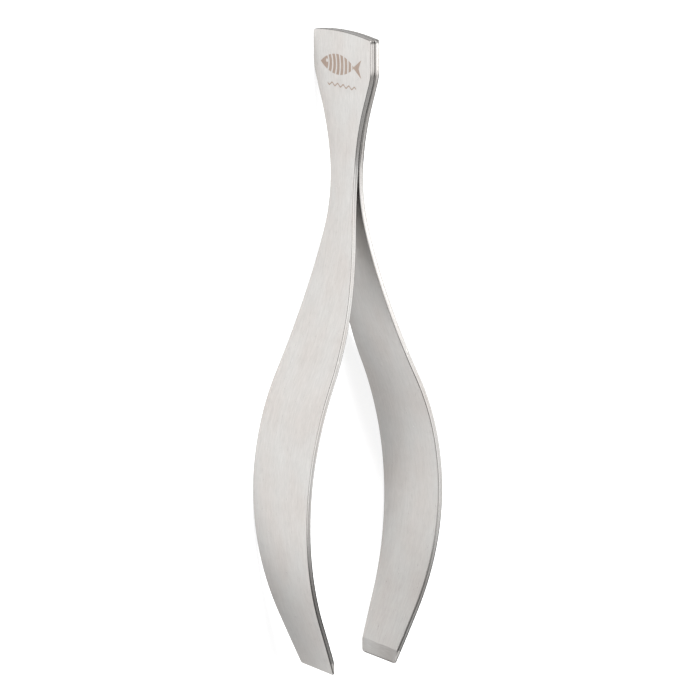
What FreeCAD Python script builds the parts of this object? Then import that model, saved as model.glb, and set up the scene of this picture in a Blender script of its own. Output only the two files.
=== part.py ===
import FreeCAD, Part
import math
import os

# Wide-tip spring tweezers: two identical pressed steel leaves, spot-welded at a flared head.
# The tweezers lie on their side. +X runs from the head to the tips, +Y across the opening and
# +Z across the width of the leaves. The origin is at the bottom centre of their bounding box.
# Sizes are in millimetres and degrees. A size named _AT is a distance from the crown, the
# curved end of the head, along the tweezers.

Vector = FreeCAD.Vector

# The whole tool
OVERALL_LENGTH = 145.0
BLANK_WIDTH = 22.5
SHEET = 1.2
SEAM = 0.1

# Outline of a leaf, seen square on to its face
CROWN_RADIUS = 85.0
CORNER_RADIUS = 0.6
SHOULDER_AT = 7.0
SHOULDER_RADIUS = 10.0
WAIST_AT = 35.0
WAIST_WIDTH = 9.2
WAIST_RADIUS = 50.0
BELLY_AT = 91.0
BELLY_RADIUS = 180.0
TAPER_RADIUS = 310.0

# Bend of a leaf, seen on its edge and measured at the middle of the sheet
SPREAD_AT = 28.0
SPREAD_RADIUS = 118.0
SPREAD_ANGLE = math.radians(24.7)
RETURN_RADIUS = 70.0
RETURN_ANGLE = math.radians(21.6)

# Jaw, ground on the inner face of the tip down to a thin edge
JAW_LENGTH = 3.3
JAW_EDGE = 0.35

# Where the neck flexes: each leaf is divided here so that its arm can turn
FLEX_AT = 50.0
FLEX_GAP = 0.02

# Spot welds between the plates of the head
WELDS_AT = [8.0, 18.0]
WELD_DIAMETER = 4.0
WELD_DEPTH = 0.4

# Worked out from the sizes above
CROWN_X = -OVERALL_LENGTH / 2
TIP_X = OVERALL_LENGTH / 2
MIDDLE_Z = BLANK_WIDTH / 2
MIDDLE_Y = (SEAM + SHEET) / 2
CLEAR = 40.0


def arc(centre, radius, start, end):
    """An arc from one direction to another, both angles from +X towards +Y of its plane."""
    points = []
    for share in (0.0, 0.5, 1.0):
        angle = start + (end - start) * share
        points.append((centre[0] + radius * math.cos(angle), centre[1] + radius * math.sin(angle)))
    return points


def wire_face(runs, to_3d):
    """A face round a closed chain of runs: two points make a line, and three make an arc."""
    edges = []
    for run in runs:
        points = [to_3d(point) for point in run]
        if len(points) == 2:
            edges.append(Part.LineSegment(*points).toShape())
        else:
            edges.append(Part.Arc(*points).toShape())
    return Part.Face(Part.Wire(edges))


def slope_beside_waist(waist, centre, radius):
    """The angle of the straight edge between the waist and the convex arc beside it."""
    across = abs(centre[0] - waist[0])
    drop = waist[1] - centre[1]
    reach = math.hypot(across, drop)
    return math.asin((WAIST_RADIUS + radius) / reach) - math.atan2(drop, across)


def edge_line(sign):
    """One long edge of the outline, from crown to tip, as runs of (distance, half width)."""
    half = BLANK_WIDTH / 2
    shoulder = (SHOULDER_AT, half - SHOULDER_RADIUS)
    waist = (WAIST_AT, WAIST_WIDTH / 2 + WAIST_RADIUS)
    belly = (BELLY_AT, half - BELLY_RADIUS)
    taper = (BELLY_AT, half - TAPER_RADIUS)
    fall = slope_beside_waist(waist, shoulder, SHOULDER_RADIUS)
    rise = slope_beside_waist(waist, belly, BELLY_RADIUS)
    crown_inset = CROWN_RADIUS - math.sqrt(CROWN_RADIUS**2 - half**2)
    tip_turn = math.asin((OVERALL_LENGTH - BELLY_AT) / TAPER_RADIUS)
    top = math.pi / 2
    shoulder_arc = arc(shoulder, SHOULDER_RADIUS, top, top - fall)
    waist_arc = arc(waist, WAIST_RADIUS, -top - fall, -top + rise)
    belly_arc = arc(belly, BELLY_RADIUS, top + rise, top)
    taper_arc = arc(taper, TAPER_RADIUS, top, top - tip_turn)
    runs = [
        [(crown_inset, half), shoulder_arc[0]],
        shoulder_arc,
        [shoulder_arc[-1], waist_arc[0]],
        waist_arc,
        [waist_arc[-1], belly_arc[0]],
        belly_arc,
        taper_arc,
    ]
    return [[(at, sign * width) for at, width in run] for run in runs]


def outline_prism():
    """The stamped outline of a leaf, as a block that passes through both leaves."""
    upper = edge_line(1)
    lower = edge_line(-1)
    lower_back = [run[::-1] for run in lower[::-1]]
    tip_end = [upper[-1][-1], lower[-1][-1]]
    crown = [lower[0][0], (0.0, 0.0), upper[0][0]]

    def place(point):
        return Vector(CROWN_X + point[0], -CLEAR, MIDDLE_Z + point[1])

    face = wire_face(upper + [tip_end] + lower_back + [crown], place)
    prism = face.extrude(Vector(0, 2 * CLEAR, 0))
    corners = [place(point) for point in tip_end + [crown[0], crown[-1]]]
    through = Vector(0, CLEAR, 0)
    corner_edges = []
    for edge in prism.Edges:
        if any(edge.distToShape(Part.Vertex(corner + through))[0] < 1e-6 for corner in corners):
            corner_edges.append(edge)
    return prism.makeFillet(CORNER_RADIUS, corner_edges)


def bend_side(offset):
    """One face of the bent sheet, seen on its edge, as runs from crown to tip.

    offset is the distance from the middle of the sheet, positive towards the outer face."""
    top = math.pi / 2
    spread_centre = (CROWN_X + SPREAD_AT, MIDDLE_Y + SPREAD_RADIUS)
    spread_arc = arc(spread_centre, SPREAD_RADIUS - offset, -top, -top + SPREAD_ANGLE)
    centres_apart = SPREAD_RADIUS + RETURN_RADIUS
    return_centre = (
        spread_centre[0] + centres_apart * math.sin(SPREAD_ANGLE),
        spread_centre[1] - centres_apart * math.cos(SPREAD_ANGLE),
    )
    return_arc = arc(return_centre, RETURN_RADIUS + offset, top + SPREAD_ANGLE, top - RETURN_ANGLE)
    last = return_arc[-1]
    tip = (TIP_X, last[1] - (TIP_X - last[0]) * math.tan(RETURN_ANGLE))
    return [[(CROWN_X, MIDDLE_Y + offset), spread_arc[0]], spread_arc, return_arc, [last, tip]]


def bent_strip():
    """The rear leaf's sheet, bent and ground at the tip, before its outline is cut."""
    outer = bend_side(SHEET / 2)
    inner = bend_side(-SHEET / 2)
    outer_tip = outer[-1][-1]
    edge = (TIP_X, outer_tip[1] - JAW_EDGE)
    full = inner[-1][-1]
    jaw_start = (
        full[0] - JAW_LENGTH * math.cos(RETURN_ANGLE),
        full[1] + JAW_LENGTH * math.sin(RETURN_ANGLE),
    )
    inner[-1] = [inner[-1][0], jaw_start]
    inner_back = [run[::-1] for run in inner[::-1]]
    closing = [inner[0][0], outer[0][0]]
    runs = outer + [[outer_tip, edge], [edge, jaw_start]] + inner_back + [closing]
    face = wire_face(runs, lambda point: Vector(point[0], point[1], 0))
    return face.extrude(Vector(0, 0, BLANK_WIDTH))


def flex_plane():
    """The inner point and the direction, along the leaf, of the plane that divides it."""
    turn = math.asin((FLEX_AT - SPREAD_AT) / SPREAD_RADIUS)
    inner_radius = SPREAD_RADIUS + SHEET / 2
    x = CROWN_X + SPREAD_AT + inner_radius * math.sin(turn)
    y = MIDDLE_Y + SPREAD_RADIUS - inner_radius * math.cos(turn)
    return Vector(x, y, 0), Vector(math.cos(turn), math.sin(turn), 0)


def half_space(point, direction):
    """A block that fills everything the tool reaches on one side of an upright plane."""
    side = Vector(-direction.y, direction.x, 0)
    reach = OVERALL_LENGTH
    corners = [
        point - side * reach,
        point + side * reach,
        point + side * reach + direction * reach,
        point - side * reach + direction * reach,
    ]
    drop = Vector(0, 0, -CLEAR)
    face = Part.Face(Part.makePolygon([corner + drop for corner in corners + corners[:1]]))
    return face.extrude(Vector(0, 0, 2 * CLEAR + BLANK_WIDTH))


def weld_nuggets():
    """The spot welds: discs of fused metal that reach a little way into both plates."""
    height = SEAM + 2 * WELD_DEPTH
    discs = []
    for at in WELDS_AT:
        base = Vector(CROWN_X + at, -height / 2, MIDDLE_Z)
        discs.append(Part.makeCylinder(WELD_DIAMETER / 2, height, base, Vector(0, 1, 0)))
    return Part.makeCompound(discs)


def rear_leaf():
    """The rear leaf in two pieces, the plate with its neck and the arm with its jaw."""
    leaf = bent_strip().common(outline_prism())
    point, direction = flex_plane()
    head = leaf.common(half_space(point, direction * -1)).cut(weld_nuggets())
    arm = leaf.common(half_space(point + direction * FLEX_GAP, direction))
    return head.Solids[0], arm.Solids[0]


def to_front(shape):
    """The same piece turned over about the long axis of the tool, as the front leaf is."""
    turned = shape.copy()
    turned.rotate(Vector(0, 0, MIDDLE_Z), Vector(1, 0, 0), 180)
    return turned


rear_head, rear_arm = rear_leaf()
pieces = {
    "front_leaf_head": to_front(rear_head),
    "front_leaf_arm": to_front(rear_arm),
    "rear_leaf_head": rear_head,
    "rear_leaf_arm": rear_arm,
    "weld_nuggets": weld_nuggets(),
}
os.makedirs("parts", exist_ok=True)
for name, shape in pieces.items():
    shape.exportStep("parts/" + name + ".step")
    print(name, "solids", len(shape.Solids), "volume", round(shape.Volume, 2), shape.isValid())
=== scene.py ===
import math

import bpy
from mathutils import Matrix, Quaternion, Vector


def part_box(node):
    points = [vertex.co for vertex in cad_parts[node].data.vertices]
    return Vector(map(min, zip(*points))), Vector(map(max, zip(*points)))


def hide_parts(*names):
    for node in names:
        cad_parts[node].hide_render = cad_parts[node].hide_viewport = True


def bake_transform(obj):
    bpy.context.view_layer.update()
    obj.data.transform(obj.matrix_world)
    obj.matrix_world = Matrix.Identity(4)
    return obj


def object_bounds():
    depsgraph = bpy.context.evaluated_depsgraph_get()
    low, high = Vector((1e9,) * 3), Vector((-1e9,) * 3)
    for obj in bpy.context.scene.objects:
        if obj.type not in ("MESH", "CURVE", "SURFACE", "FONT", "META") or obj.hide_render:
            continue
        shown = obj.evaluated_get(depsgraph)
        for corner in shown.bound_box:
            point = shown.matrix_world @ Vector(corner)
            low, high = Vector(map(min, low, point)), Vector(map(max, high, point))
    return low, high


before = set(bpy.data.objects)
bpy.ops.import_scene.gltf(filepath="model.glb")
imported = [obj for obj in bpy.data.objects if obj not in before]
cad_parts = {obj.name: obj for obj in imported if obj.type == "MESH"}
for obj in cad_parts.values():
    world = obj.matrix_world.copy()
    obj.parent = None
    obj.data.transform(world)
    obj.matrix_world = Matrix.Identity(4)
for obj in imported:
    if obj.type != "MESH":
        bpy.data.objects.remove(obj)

cad_low, cad_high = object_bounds()

# The two leaves
# Each leaf is one strip of stainless sheet, blanked to its outline and tumbled to break its
# edges. It is pressed to its bend in a die, brushed along its length and ground at the tip.
# The rear leaf is the same pressing as the front one, turned over.

MM = 0.001

crown_x = cad_low.x
tip_x = cad_high.x
middle_z = (cad_low.z + cad_high.z) / 2
half_width = (cad_high.z - cad_low.z) / 2
overall_length = tip_x - crown_x
seam = -2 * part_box("front_leaf_head")[1].y
SHEET = 1.2 * MM
EDGE_BREAK = 0.2 * MM
CORNER_RADIUS = 0.6 * MM
CROWN_RADIUS = 85 * MM
CROWN_FADE = 6 * MM

SHOULDER_AT = 7 * MM
SHOULDER_RADIUS = 10 * MM
WAIST_AT = 35 * MM
WAIST_WIDTH = 9.2 * MM
WAIST_RADIUS = 50 * MM
BELLY_AT = 91 * MM
BELLY_RADIUS = 180 * MM
TAPER_RADIUS = 310 * MM

SPREAD_AT = 28 * MM
SPREAD_RADIUS = 118 * MM
SPREAD_ANGLE = math.radians(24.7)
RETURN_RADIUS = 70 * MM
RETURN_ANGLE = math.radians(21.6)

JAW_LENGTH = 3.3 * MM
JAW_EDGE = 0.33 * MM


def slope_beside_waist(centre_at, radius):
    """The angle of the straight edge between the waist and the convex arc beside it."""
    across = abs(centre_at - WAIST_AT)
    drop = WAIST_WIDTH / 2 + WAIST_RADIUS - (half_width - radius)
    reach = math.hypot(across, drop)
    return math.asin((WAIST_RADIUS + radius) / reach) - math.atan2(drop, across)


neck_fall = slope_beside_waist(SHOULDER_AT, SHOULDER_RADIUS)
neck_rise = slope_beside_waist(BELLY_AT, BELLY_RADIUS)
# The end of the sheet's middle, so that the outer corner of the tip is the tool's end
leaf_length = overall_length - SHEET / 2 * math.sin(RETURN_ANGLE)
taper_fall = math.asin((leaf_length - BELLY_AT) / TAPER_RADIUS)
jaw_start = leaf_length - (JAW_LENGTH - SHEET / 2 * math.tan(RETURN_ANGLE)) * math.cos(RETURN_ANGLE)

# Each arc of the outline and of the bend: where it starts, its radius, and its slope before
# and after it
outline_arcs = {
    "Shoulder": (SHOULDER_AT, SHOULDER_RADIUS, 0.0, -neck_fall),
    "Waist": (WAIST_AT - WAIST_RADIUS * math.sin(neck_fall), WAIST_RADIUS, -neck_fall, neck_rise),
    "Belly": (BELLY_AT - BELLY_RADIUS * math.sin(neck_rise), BELLY_RADIUS, neck_rise, 0.0),
    "Taper": (BELLY_AT, TAPER_RADIUS, 0.0, -taper_fall),
}
bend_arcs = {
    "Spread": (SPREAD_AT, SPREAD_RADIUS, 0.0, SPREAD_ANGLE),
    "Return": (
        SPREAD_AT + SPREAD_RADIUS * math.sin(SPREAD_ANGLE),
        RETURN_RADIUS,
        SPREAD_ANGLE,
        -RETURN_ANGLE,
    ),
}
leaf_sizes = {
    "Crown at": crown_x,
    "Middle height": middle_z,
    "Length": leaf_length,
    "Half width": half_width,
    "Sheet": SHEET,
    "Seam": seam,
    "Edge break": EDGE_BREAK,
    "Corner radius": CORNER_RADIUS,
    "Crown radius": CROWN_RADIUS,
    "Crown fade": CROWN_FADE,
    "Jaw start": jaw_start,
    "Jaw edge": JAW_EDGE,
}
for arc_name, arc_sizes in {**outline_arcs, **bend_arcs}.items():
    for size_name, size in zip(("at", "radius", "before", "after"), arc_sizes):
        leaf_sizes[arc_name + " " + size_name] = size


class Amount:
    """A value that a node tree works out. Sums on it in Python add Math nodes to the tree."""

    def __init__(self, tree, node, output):
        self.tree = tree
        self.node = node
        self.socket = node.outputs[output]

    def other(self, output):
        return Amount(self.tree, self.node, output)

    def math(self, operation, *values):
        values = dict(enumerate([self, *values]))
        return add(self.tree, "ShaderNodeMath", {"operation": operation}, values)

    def __add__(self, value):
        return self.math("ADD", value)

    def __radd__(self, value):
        return self.math("ADD", value)

    def __sub__(self, value):
        return self.math("SUBTRACT", value)

    def __rsub__(self, value):
        return (self * -1).math("ADD", value)

    def __mul__(self, value):
        return self.math("MULTIPLY", value)

    def __rmul__(self, value):
        return self.math("MULTIPLY", value)

    def __truediv__(self, value):
        return self.math("DIVIDE", value)

    def __abs__(self):
        return self.math("ABSOLUTE")

    def within(self, low, high):
        """The value, kept between two limits."""
        return self.math("MAXIMUM", low).math("MINIMUM", high)

    def above(self, edge, width):
        """0 below an edge and 1 above it, rising smoothly over a width."""
        share = ((self - edge) / width + 0.5).within(0.0, 1.0)
        return share * share * (3 - 2 * share)


def add(tree, kind, settings=None, values=None, output=0):
    """Adds any node to a tree: its settings first, then the value or link of its sockets."""
    node = tree.nodes.new(kind)
    settings = dict(settings or {})
    stops = settings.pop("stops", None)
    for name, setting in settings.items():
        setattr(node, name, setting)
    if stops:
        while len(node.color_ramp.elements) < len(stops):
            node.color_ramp.elements.new(0.5)
        for element, (position, colour) in zip(node.color_ramp.elements, stops):
            element.position = position
            element.color = (*colour, 1.0)
    for name, value in (values or {}).items():
        if isinstance(value, Amount):
            tree.links.new(value.socket, node.inputs[name])
        else:
            node.inputs[name].default_value = value
    return Amount(tree, node, output) if node.outputs else node


def follow(along, start_height, arcs, length):
    """The height and slope, at a distance along it, of a line that runs level, then round arcs
    with straights between them. Each arc is (at, radius, before, after)."""
    height = start_height
    slope = arcs[0][2]
    ends = [arc[0] for arc in arcs[1:]] + [length]
    for (at, radius, before, after), end in zip(arcs, ends):
        sine_before = before.math("SINE")
        sine_after = after.math("SINE")
        upward = (sine_after - sine_before).math("SIGN")
        reach = abs(sine_after - sine_before) * radius
        gone = (along - at).math("MAXIMUM", 0.0).math("MINIMUM", reach)
        angle = (sine_before + upward * gone / radius).math("ARCSINE")
        arc_rise = upward * radius * (before.math("COSINE") - angle.math("COSINE"))
        straight = (along - (at + reach)).math("MAXIMUM", 0.0).math("MINIMUM", end - (at + reach))
        height = height + arc_rise + straight * after.math("TANGENT")
        slope = slope + (angle - before)
    return height, slope


def quarter_inset(distance, radius):
    """How far a rounded corner stands in from its square one, at a distance from the end."""
    share = (1 - distance / radius).within(0.0, 1.0)
    return radius * (1 - (1 - share * share).math("SQRT"))


leaf_tree = bpy.data.node_groups.new("bent_leaf", "GeometryNodeTree")
leaf_tree.interface.new_socket("Geometry", in_out="OUTPUT", socket_type="NodeSocketGeometry")
leaf_tree.interface.new_socket("Side", in_out="INPUT", socket_type="NodeSocketFloat")
leaf_tree.interface.new_socket("Rings", in_out="INPUT", socket_type="NodeSocketInt")
leaf_tree.interface.new_socket("Material", in_out="INPUT", socket_type="NodeSocketMaterial")
for size_name in leaf_sizes:
    leaf_tree.interface.new_socket(size_name, in_out="INPUT", socket_type="NodeSocketFloat")
given = add(leaf_tree, "NodeGroupInput")


def arcs_given(arcs):
    """The sockets of a line's arcs, as follow() takes them."""
    ends = ("at", "radius", "before", "after")
    return [tuple(given.other(name + " " + end) for end in ends) for name in arcs]


def stored(tree, geometry, name, kind, value):
    """The geometry, with a named attribute on its points."""
    settings = {"data_type": kind, "domain": "POINT"}
    values = {"Geometry": geometry, "Name": name, "Value": value}
    return add(tree, "GeometryNodeStoreNamedAttribute", settings, values)


def recalled(tree, name, kind):
    """A named attribute of the points."""
    return add(tree, "GeometryNodeInputNamedAttribute", {"data_type": kind}, {"Name": name})


# The section of the sheet: a slim box with broken edges. A point just inside each edge lets the
# broad faces shade flat, and more points across them let the crown curve.
EDGE_STEPS = 4
GAP_STEPS = 7
POINTS_PER_SIDE = EDGE_STEPS + 3 + GAP_STEPS
ROUNDING = 0.001
FLAT_LEAD = 0.08 * MM
QUARTER = math.pi / 2
half_sheet = given.other("Sheet") / 2
broken = given.other("Edge break")
point_number = add(leaf_tree, "GeometryNodeInputIndex")
side_number = (point_number / POINTS_PER_SIDE + ROUNDING).math("FLOOR")
step = point_number - side_number * POINTS_PER_SIDE
over_gap = (step - (EDGE_STEPS + 2)).math("MAXIMUM", 0.0) / (GAP_STEPS + 1)
turned = (((step - 1) / EDGE_STEPS).within(0.0, 1.0) + side_number) * QUARTER
lead = (step - (EDGE_STEPS + 1)).within(0.0, 1.0) - (1 - step).within(0.0, 1.0) - over_gap * 2
this_corner = (side_number + 0.5) * QUARTER
next_corner = this_corner + QUARTER
this_thick = this_corner.math("COSINE").math("SIGN")
this_wide = this_corner.math("SINE").math("SIGN")
thick_side = this_thick + over_gap * (next_corner.math("COSINE").math("SIGN") - this_thick)
wide_side = this_wide + over_gap * (next_corner.math("SINE").math("SIGN") - this_wide)
sine = turned.math("SINE")
cosine = turned.math("COSINE")
through = thick_side * (half_sheet - broken) + broken * cosine - FLAT_LEAD * lead * sine
beside = broken * sine + FLAT_LEAD * lead * cosine
section_vector = add(
    leaf_tree, "ShaderNodeCombineXYZ", None, {"X": through, "Y": beside, "Z": wide_side}
)
section = add(
    leaf_tree,
    "GeometryNodeCurvePrimitiveCircle",
    {"mode": "RADIUS"},
    {"Resolution": 4 * POINTS_PER_SIDE, "Radius": 1.0},
)
section = stored(leaf_tree, section, "section", "FLOAT_VECTOR", section_vector)
section = stored(leaf_tree, section, "edge", "FLOAT", abs(sine))

# The rings along the leaf, close together near both ends, with one exactly where the jaw
# starts. The first and the last ring close the ends.
RING_COUNT = 262
SNAP = 0.15 * MM
ring_line = add(leaf_tree, "GeometryNodeCurvePrimitiveLine")
ring_line = add(
    leaf_tree,
    "GeometryNodeResampleCurve",
    None,
    {"Curve": ring_line, "Count": given.other("Rings")},
)
ring_number = add(leaf_tree, "GeometryNodeInputIndex")
last_ring = given.other("Rings") - 1
length = given.other("Length")
ring_share = ((ring_number - 1) / (last_ring - 2)).within(0.0, 1.0)
spaced = (1 - (ring_share * math.pi).math("COSINE")) * length / 2
off_jaw = spaced - given.other("Jaw start")
near_jaw = abs(off_jaw).math("LESS_THAN", SNAP)
open_share = ring_number.math("MINIMUM", last_ring - ring_number).within(0.0, 1.0)
ring_line = stored(leaf_tree, ring_line, "ring", "FLOAT", spaced - off_jaw * near_jaw)
ring_line = stored(leaf_tree, ring_line, "open", "FLOAT", open_share)

strip = add(
    leaf_tree, "GeometryNodeCurveToMesh", None, {"Curve": ring_line, "Profile Curve": section}
)
ring = recalled(leaf_tree, "ring", "FLOAT")
open_share = recalled(leaf_tree, "open", "FLOAT")
own_section = recalled(leaf_tree, "section", "FLOAT_VECTOR")
own_through = add(leaf_tree, "ShaderNodeSeparateXYZ", None, {"Vector": own_section})
own_beside = own_through.other("Y")
own_side = own_through.other("Z")

# The blank: half its width at each ring, with rounded corners and broken ends
half_outline, _ = follow(ring, given.other("Half width"), arcs_given(outline_arcs), length)
from_end = ring.math("MINIMUM", length - ring)
end_inset = quarter_inset(from_end, broken)
half_outline = half_outline - end_inset - quarter_inset(from_end, given.other("Corner radius"))
across = own_side * (half_outline - broken) + own_beside
crown_r = given.other("Crown radius")
crown_sag = crown_r - (crown_r * crown_r - across * across).math("SQRT")
crown_share = (1 - ring / given.other("Crown fade")).within(0.0, 1.0)
along = ring + crown_sag * crown_share

# The jaw: a flat ground across the inner face, down to a thin edge at the tip
thinned = own_through * (half_sheet - end_inset) / half_sheet
ground_share = (ring - given.other("Jaw start")) / (length - given.other("Jaw start"))
ground_floor = ground_share * (given.other("Sheet") - given.other("Jaw edge")) - half_sheet
out_of_middle = thinned.math("MAXIMUM", ground_floor.math("MINIMUM", half_sheet)) * open_share

# The press: the blank follows the bend, and the front leaf is turned over
MERGE_WITHIN = 0.0001 * MM
bend_start = (given.other("Seam") + given.other("Sheet")) / 2
bent_height, bent_slope = follow(ring, bend_start, arcs_given(bend_arcs), length)
side = given.other("Side")
place = add(
    leaf_tree,
    "ShaderNodeCombineXYZ",
    None,
    {
        "X": given.other("Crown at") + along - out_of_middle * bent_slope.math("SINE"),
        "Y": side * (bent_height + out_of_middle * bent_slope.math("COSINE")),
        "Z": given.other("Middle height") + side * across,
    },
)
strip_place = add(
    leaf_tree, "ShaderNodeCombineXYZ", None, {"X": along, "Y": across, "Z": out_of_middle}
)
strip = stored(leaf_tree, strip, "strip", "FLOAT_VECTOR", strip_place)
# How far each point is round the edge: 0 on the broad faces and 1 on the sheared walls
end_share = (1 - from_end / broken).within(0.0, 1.0)
rim = recalled(leaf_tree, "edge", "FLOAT").math("MAXIMUM", end_share)
strip = stored(leaf_tree, strip, "rim", "FLOAT", rim)
strip = add(leaf_tree, "GeometryNodeSetPosition", None, {"Geometry": strip, "Position": place})
strip = add(
    leaf_tree,
    "GeometryNodeMergeByDistance",
    None,
    {"Geometry": strip, "Distance": MERGE_WITHIN},
)
strip = add(
    leaf_tree,
    "GeometryNodeSetShadeSmooth",
    {"domain": "FACE"},
    {"Geometry": strip, "Shade Smooth": True},
)
on_crease = abs(ring - given.other("Jaw start")).math("LESS_THAN", SNAP / 100)
strip = add(
    leaf_tree,
    "GeometryNodeSetShadeSmooth",
    {"domain": "EDGE"},
    {"Geometry": strip, "Selection": on_crease, "Shade Smooth": False},
)
for used in ("ring", "open", "section", "edge"):
    strip = add(leaf_tree, "GeometryNodeRemoveAttribute", None, {"Geometry": strip, "Name": used})
strip = add(leaf_tree, "GeometryNodeRealizeInstances", None, {"Geometry": strip})
strip = add(
    leaf_tree,
    "GeometryNodeSetMaterial",
    None,
    {"Geometry": strip, "Material": given.other("Material")},
)
leaf_tree.nodes.new("NodeGroupOutput")
leaf_tree.links.new(strip.socket, leaf_tree.nodes["Group Output"].inputs["Geometry"])


def material_tree(name):
    """A new material and its empty node tree."""
    material = bpy.data.materials.new(name)
    material.use_nodes = True
    material.node_tree.nodes.clear()
    return material, material.node_tree


def mixed(tree, share, first, second):
    """Two colours mixed by a share, from 0 for the first to 1 for the second."""
    settings = {"data_type": "RGBA", "blend_type": "MIX"}
    return add(tree, "ShaderNodeMix", settings, {0: share, 6: first, 7: second}, 2)


WARM_STEEL = (0.408, 0.388, 0.372)
COOL_STEEL = (0.403, 0.395, 0.384)


def pale_steel(tree, share):
    """The colour of the clean steel, which clouds a little between warm and cool."""
    stops = [(0.35, WARM_STEEL), (0.65, COOL_STEEL)]
    return add(tree, "ShaderNodeValToRGB", {"stops": stops}, {"Fac": share})


# The laser mark, in millimetres
MARK_AT = 7.6
MARK_COLOUR = (0.25, 0.185, 0.145, 1.0)
MARK_BLUR = 0.12
FISH_HALF_LENGTH = 6.6
FISH_HALF_HEIGHT = 2.3
EYE_SHARE = 0.62
EYE_LIFT = 0.4
EYE_RADIUS = 0.4
SCALE_PITCH = 1.5
SCALE_GAP = 0.5
BARE_SNOUT = 2 * SCALE_PITCH
TAIL_LENGTH = 3.4
TAIL_OVERLAP = 0.5
TAIL_FLARE = 0.65
NOTCH_FLARE = 0.5
NOTCH_DEPTH = 1.2
WAVE_AT = 12.2
WAVE_HALF_LENGTH = 5.6
WAVE_PITCH = 2.2
WAVE_HEIGHT = 0.3
WAVE_STROKE = 0.36


def distance(across, down):
    """The distance of a point from an origin, from how far it is across and down from it."""
    return (across * across + down * down).math("SQRT")


def fish_mark(along, across):
    """The share of a laser mark at a place in millimetres: a plain fish with rows of scales over
    a wavy line."""
    left = across - TAIL_LENGTH / 2
    down = along - MARK_AT
    radius = (FISH_HALF_LENGTH**2 + FISH_HALF_HEIGHT**2) / (2 * FISH_HALF_HEIGHT)
    offset = radius - FISH_HALF_HEIGHT
    from_centres = distance(left, down - offset).math("MAXIMUM", distance(left, down + offset))
    body = 1 - from_centres.above(radius, MARK_BLUR)
    from_eye = distance(left - FISH_HALF_LENGTH * EYE_SHARE, down + EYE_LIFT)
    eye = 1 - from_eye.above(EYE_RADIUS, MARK_BLUR)
    from_snout = distance(left - FISH_HALF_LENGTH, down)
    row = (from_snout / SCALE_PITCH).math("FRACT") * SCALE_PITCH
    scale_gap = (1 - row.above(SCALE_GAP, MARK_BLUR)) * from_snout.above(BARE_SNOUT, MARK_BLUR)
    body = body * (1 - eye) * (1 - scale_gap)
    behind = -1 * left - (FISH_HALF_LENGTH - TAIL_OVERLAP)
    tail = (behind * TAIL_FLARE - abs(down)).above(0.0, MARK_BLUR)
    notch = (behind - abs(down) * NOTCH_FLARE).above(TAIL_LENGTH - NOTCH_DEPTH, MARK_BLUR)
    tail = tail * (1 - notch)
    wave_height = (across * (2 * math.pi / WAVE_PITCH)).math("SINE") * WAVE_HEIGHT
    wave = 1 - abs(along - WAVE_AT - wave_height).above(WAVE_STROKE / 2, MARK_BLUR)
    wave = wave * (1 - abs(across).above(WAVE_HALF_LENGTH, MARK_BLUR))
    return body.math("MAXIMUM", tail).math("MAXIMUM", wave)


# How often each grain varies in a millimetre, along the strip and beside it, and its detail
FINE_LINES = (0.7, 4.0, 3.0)
BROAD_LINES = (0.12, 1.5, 3.0)
CLOUDS = (0.09, 0.13, 2.0)
PRESS_BANDS = (0.4, 0.02, 2.0)
CROSS_LINES = (9.0, 0.4, 3.0)
SPECKLES = (2.6, 2.6, 2.0)
JAW_WAVER = (0.0, 0.35, 2.0)

# How far the edge of the ground jaw wavers and the width that it fades over, in millimetres
JAW_WAVER_WIDTH = 0.25
JAW_FADE = 0.12

# Where each finish and each painted shade starts, and the width that it fades in over. The first
# three are shares of the way round the edge, and the rest are millimetres out of the middle of the
# sheet or from the crown.
WALL = (0.9, 0.15)
TUMBLED = (0.1, 0.15)
CROWN_RIM = (0.35, 0.3)
BURNISHED = (0.22, 0.14)
MARKED_FACE = (0.4, 0.02)
OUTER_FACE = (0.5, 0.02)
PAST_CROWN_CUT = (0.7, 0.6)
TIP_SHADE_START = (118.0, 24.0)

# How far each finish lightens or darkens the steel, and how far painted shade darkens
# the crown's rim and the tips, their walls most
FINE_TONE = 0.32
BROAD_TONE = 0.16
PRESS_TONE = 0.06
CLOUD_TONE = 0.12
SPECKLE_TONE = 0.5
TORN_TONE = 0.05
CROWN_SHADE_DEPTH = 0.75
TIP_SHADE_DEPTH = 0.18
TIP_WALL_SHADE_DEPTH = 0.4
JAW_TONE = 0.67
JAW_CROSS_TONE = 0.30
JAW_CLOUD_TONE = 0.4
MARK_SHARE = 0.86
MARK_GRAIN = 0.5

# How rough the brushed faces are, and how far each finish is rougher or smoother
FACE_ROUGHNESS = 0.30
FINE_ROUGHNESS = 0.12
TUMBLED_POLISH = 0.15
BURNISHED_POLISH = 0.16
JAW_ROUGHNESS = 0.08
TORN_ROUGHNESS = 0.20
SPECKLE_ROUGHNESS = 0.2
CROWN_ROUGHNESS = 0.35
MARK_ROUGHNESS = 0.12
GRAIN_DEPTH = 0.01 * MM
GRAIN_STRENGTH = 0.3
BRUSHED_STRETCH = 0.5
BRUSHED_TURN = 0.25


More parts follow.
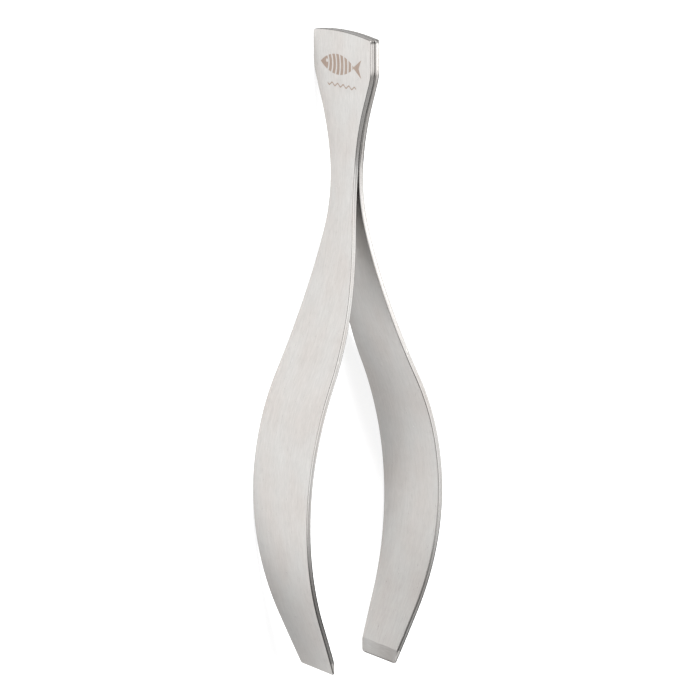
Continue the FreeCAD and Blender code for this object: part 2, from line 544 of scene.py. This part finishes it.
def leaf_steel(name, marked):
    """Brushed stainless steel: fine lines along the strip, polished broken edges, sheared walls
    with a torn band along their middle, a rougher crown rim and a jaw ground across. Painted shade
    darkens the crown's rim and the tips, their walls most. A marked leaf has a laser mark on its
    outer face."""
    material, tree = material_tree(name)
    strip_at = add(tree, "ShaderNodeAttribute", {"attribute_name": "strip"}, None, "Vector")
    strip_parts = add(tree, "ShaderNodeSeparateXYZ", None, {"Vector": strip_at})
    along = strip_parts / MM
    across = strip_parts.other("Y") / MM
    through = strip_parts.other("Z") / MM
    rim = add(tree, "ShaderNodeAttribute", {"attribute_name": "rim"}, None, "Fac")

    def grain(per_mm_along, per_mm_beside, detail):
        """Noise drawn out along the strip, about 0.5 on average."""
        parts = {
            "X": along * per_mm_along,
            "Y": across * per_mm_beside,
            "Z": through * per_mm_beside,
        }
        at = add(tree, "ShaderNodeCombineXYZ", None, parts)
        values = {"Vector": at, "Scale": 1.0, "Detail": detail}
        return add(tree, "ShaderNodeTexNoise", None, values)

    wall = rim.above(*WALL)
    tumbled = (rim.above(*TUMBLED) - wall).within(0.0, 1.0)
    torn = wall * (1 - abs(through).above(*BURNISHED))
    burnished = (wall - torn).within(0.0, 1.0)
    crown_curve = across * across / (2 * CROWN_RADIUS / MM)
    # The crown's cut rim is rougher, and painted shade darkens its colour: a dark line along the
    # crown that also dims the glints at its corners.
    crown_cut_and_shade = rim.above(*CROWN_RIM) * (1 - (along - crown_curve).above(*PAST_CROWN_CUT))
    # Painted shade: the steel darkens towards the tips, and their walls darken most.
    painted_tip_shade = along.above(*TIP_SHADE_START)
    jaw_line = jaw_start / MM + (grain(*JAW_WAVER) - 0.5) * JAW_WAVER_WIDTH
    jaw = (along - jaw_line).above(0.0, JAW_FADE) * (1 - through.above(*OUTER_FACE))

    fine = grain(*FINE_LINES) - 0.5
    broad = grain(*BROAD_LINES) - 0.5
    cloud = grain(*CLOUDS)
    press_bands = grain(*PRESS_BANDS) - 0.5
    cross = grain(*CROSS_LINES) - 0.5
    speckle = grain(*SPECKLES) - 0.5

    brushing = fine * FINE_TONE + broad * BROAD_TONE + press_bands * PRESS_TONE
    tone = 1 + brushing * (1 - wall) + (cloud - 0.5) * CLOUD_TONE
    # The torn band is speckled, and painted shade darkens the crown's rim.
    tone = tone * (1 + torn * (speckle * SPECKLE_TONE - TORN_TONE)) * (1 - crown_cut_and_shade * CROWN_SHADE_DEPTH)
    # Painted shade darkens the tips here, their walls most.
    tone = tone * (1 - painted_tip_shade * (TIP_SHADE_DEPTH + rim * TIP_WALL_SHADE_DEPTH))
    jaw_tone = JAW_TONE + cross * JAW_CROSS_TONE + (cloud - 0.5) * JAW_CLOUD_TONE
    tone = tone + jaw * (jaw_tone - tone)
    steel_colour = add(
        tree,
        "ShaderNodeVectorMath",
        {"operation": "SCALE"},
        {0: pale_steel(tree, cloud), "Scale": tone},
    )
    roughness = FACE_ROUGHNESS + fine * FINE_ROUGHNESS - tumbled * TUMBLED_POLISH
    roughness = roughness - burnished * BURNISHED_POLISH + jaw * JAW_ROUGHNESS
    roughness = roughness + torn * (TORN_ROUGHNESS + speckle * SPECKLE_ROUGHNESS)
    roughness = roughness + crown_cut_and_shade * CROWN_ROUGHNESS
    if marked:
        mark = fish_mark(along, across) * through.above(*MARKED_FACE)
        mark = mark * (MARK_SHARE + fine * MARK_GRAIN)
        steel_colour = mixed(tree, mark, steel_colour, MARK_COLOUR)
        roughness = roughness + mark * MARK_ROUGHNESS
    height = fine * (1 - jaw) * (1 - rim) + cross * jaw * (1 - rim) + speckle * torn
    bump = add(
        tree,
        "ShaderNodeBump",
        None,
        {"Height": height, "Strength": GRAIN_STRENGTH, "Distance": GRAIN_DEPTH},
    )
    steel = add(
        tree,
        "ShaderNodeBsdfPrincipled",
        None,
        {
            "Base Color": steel_colour,
            "Metallic": 1.0,
            "Roughness": roughness,
            "Normal": bump,
            "Anisotropic": BRUSHED_STRETCH,
            "Anisotropic Rotation": BRUSHED_TURN,
        },
    )
    add(tree, "ShaderNodeOutputMaterial", None, {"Surface": steel})
    return material


def press_leaf(name, side, material):
    """One leaf as a plain mesh. Its side is 1 for the rear one and -1 for the front one."""
    holder = bpy.data.objects.new(name + "_blank", bpy.data.meshes.new(name + "_blank"))
    bpy.context.scene.collection.objects.link(holder)
    press = holder.modifiers.new("press", "NODES")
    press.node_group = leaf_tree
    inputs = {"Side": side, "Rings": RING_COUNT, "Material": material, **leaf_sizes}
    for item in leaf_tree.interface.items_tree:
        if item.in_out == "INPUT":
            press[item.identifier] = inputs[item.name]
    bpy.context.view_layer.update()
    evaluated = holder.evaluated_get(bpy.context.evaluated_depsgraph_get())
    leaf = bpy.data.objects.new(name, bpy.data.meshes.new_from_object(evaluated))
    leaf.data.name = name
    bpy.context.scene.collection.objects.link(leaf)
    bpy.data.objects.remove(holder)
    return leaf


# Each leaf is pressed to its bend over a stretch of its neck, and takes the place of the part's
# head and arm
for leaf_name, side in (("front_leaf", -1.0), ("rear_leaf", 1.0)):
    leaf = press_leaf(leaf_name, side, leaf_steel(leaf_name + "_steel", leaf_name == "front_leaf"))
    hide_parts(leaf_name + "_head", leaf_name + "_arm")
    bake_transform(leaf)

# The spot welds
# Two discs of steel, fused between the head plates where a spot welder pressed them together.
# They are dull and heat-stained, sit in shallow pockets of both plates and are hidden in use.

WELD_DARK = (0.20, 0.15, 0.13)
WELD_PALE = (0.42, 0.38, 0.36)
WELD_GRAIN = 900.0
WELD_ROUGHNESS = 0.45
WELD_GRAIN_ROUGHNESS = 0.2

weld_steel, weld_tree = material_tree("weld_steel")
weld_at = add(weld_tree, "ShaderNodeTexCoord", None, None, "Object")
weld_noise = add(
    weld_tree,
    "ShaderNodeTexNoise",
    None,
    {"Vector": weld_at, "Scale": WELD_GRAIN, "Detail": 3.0},
)
weld_tint = add(
    weld_tree,
    "ShaderNodeValToRGB",
    {"stops": [(0.3, WELD_DARK), (0.7, WELD_PALE)]},
    {"Fac": weld_noise},
)
weld_shader = add(
    weld_tree,
    "ShaderNodeBsdfPrincipled",
    None,
    {
        "Base Color": weld_tint,
        "Metallic": 1.0,
        "Roughness": WELD_ROUGHNESS + weld_noise * WELD_GRAIN_ROUGHNESS,
    },
)
add(weld_tree, "ShaderNodeOutputMaterial", None, {"Surface": weld_shader})
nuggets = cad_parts["weld_nuggets"]
nuggets.data.materials.clear()
nuggets.data.materials.append(weld_steel)

# The floor
# A plain white light table that the tweezers lie on. It glows a little, which keeps its shadows
# pale.

FLOOR_HALF = 20.0
FLOOR_GREY = (0.25, 0.25, 0.25, 1.0)
FLOOR_ROUGHNESS = 0.9
FLOOR_SHINE = 0.1
FLOOR_WHITE = (1.0, 1.0, 1.0, 1.0)
FLOOR_GLOW = 0.80

floor_mesh = bpy.data.meshes.new("floor")
floor_corners = [(-1, -1), (1, -1), (1, 1), (-1, 1)]
floor_mesh.from_pydata(
    [(x * FLOOR_HALF, y * FLOOR_HALF, cad_low.z) for x, y in floor_corners], [], [(0, 1, 2, 3)]
)
floor = bpy.data.objects.new("floor", floor_mesh)
bpy.context.scene.collection.objects.link(floor)
floor_paint, floor_tree = material_tree("floor_paint")
floor_shader = add(
    floor_tree,
    "ShaderNodeBsdfPrincipled",
    None,
    {
        "Base Color": FLOOR_GREY,
        "Roughness": FLOOR_ROUGHNESS,
        "Specular IOR Level": FLOOR_SHINE,
        "Emission Color": FLOOR_WHITE,
        "Emission Strength": FLOOR_GLOW,
    },
)
add(floor_tree, "ShaderNodeOutputMaterial", None, {"Surface": floor_shader})
floor_mesh.materials.append(floor_paint)

# The light
# A dim tent with three lit patches: a broad bright panel overhead, one in front of the tweezers
# and a weak one past their tips. A soft box beyond their head throws the shadows towards the tips.

# Each patch of the tent: its direction, the cosine of its edge, its blur and its glow
PANEL_TOWARDS = (-0.3, 0.4, 0.87)
PANEL_EDGE = 0.77
PANEL_BLUR = 0.10
PANEL_GLOW = 2.1
NEAR_TOWARDS = (0.1, -0.86, 0.5)
NEAR_EDGE = 0.86
NEAR_BLUR = 0.16
NEAR_GLOW = 1.4
FAR_TOWARDS = (0.72, 0.55, 0.42)
FAR_EDGE = 0.93
FAR_BLUR = 0.08
FAR_GLOW = 0.8
TENT_GLOW = 0.3
HORIZON_GLOW = 0.95

tent = bpy.data.worlds.new("tent")
bpy.context.scene.world = tent
tent.use_nodes = True
tent_tree = tent.node_tree
tent_tree.nodes.clear()
towards = add(tent_tree, "ShaderNodeTexCoord", None, None, "Generated")


def lit_patch(direction, edge, blur):
    """1 inside a round patch of the tent about a direction, and 0 outside it."""
    values = {0: towards, 1: direction}
    facing = add(tent_tree, "ShaderNodeVectorMath", {"operation": "DOT_PRODUCT"}, values, "Value")
    return facing.above(edge, blur)


panel = lit_patch(PANEL_TOWARDS, PANEL_EDGE, PANEL_BLUR)
near = lit_patch(NEAR_TOWARDS, NEAR_EDGE, NEAR_BLUR)
far = lit_patch(FAR_TOWARDS, FAR_EDGE, FAR_BLUR)
tent_light = TENT_GLOW + panel * (PANEL_GLOW - TENT_GLOW) + near * (NEAR_GLOW - TENT_GLOW)
tent_light = tent_light + far * (FAR_GLOW - TENT_GLOW)
seen = add(tent_tree, "ShaderNodeLightPath", None, None, "Is Camera Ray")
tent_light = tent_light * (1 - seen) + seen * HORIZON_GLOW
tent_glow = add(
    tent_tree, "ShaderNodeBackground", None, {"Color": (1, 1, 1, 1), "Strength": tent_light}
)
add(tent_tree, "ShaderNodeOutputWorld", None, {"Surface": tent_glow})

HEAD_BOX_PLACE = Vector((-1.915, 0.1, 1.61))
HEAD_BOX_SIZE = 0.9
HEAD_BOX_POWER = 290.0

head_lamp = bpy.data.lights.new("head_box", "AREA")
head_lamp.shape = "SQUARE"
head_lamp.size = HEAD_BOX_SIZE
head_lamp.energy = HEAD_BOX_POWER
head_box = bpy.data.objects.new("head_box", head_lamp)
head_box.location = HEAD_BOX_PLACE
head_box.rotation_mode = "QUATERNION"
head_box.rotation_quaternion = HEAD_BOX_PLACE.to_track_quat("Z", "Y")
bpy.context.scene.collection.objects.link(head_box)

# The camera
# A long lens above the front of the tweezers, a little over a metre away. It is turned so that
# their head is at the top of the view and their tips are at the bottom.

CAMERA_HEADING = math.radians(21.34)
CAMERA_DIP = math.radians(53.95)
CAMERA_ROLL = math.radians(107.33)
CAMERA_DISTANCE = 1.1194
CAMERA_LENS = 257.14
CAMERA_SENSOR = 36.0
CAMERA_SHIFT = (0.0037, 0.0021)
NEAREST_SEEN = 0.01

camera_data = bpy.data.cameras.new("camera")
camera_data.lens = CAMERA_LENS
camera_data.sensor_width = CAMERA_SENSOR
camera_data.shift_x, camera_data.shift_y = CAMERA_SHIFT
camera_data.clip_start = NEAREST_SEEN
camera = bpy.data.objects.new("camera", camera_data)
bpy.context.scene.collection.objects.link(camera)
level = math.cos(CAMERA_DIP)
forward = Vector(
    (math.sin(CAMERA_HEADING) * level, math.cos(CAMERA_HEADING) * level, -math.sin(CAMERA_DIP))
)
camera.location = Vector((0, 0, middle_z)) - forward * CAMERA_DISTANCE
camera.rotation_mode = "QUATERNION"
roll = Quaternion((0, 0, 1), CAMERA_ROLL)
camera.rotation_quaternion = forward.to_track_quat("-Z", "Y") @ roll
bpy.context.scene.camera = camera
bpy.context.scene.view_settings.view_transform = "Standard"
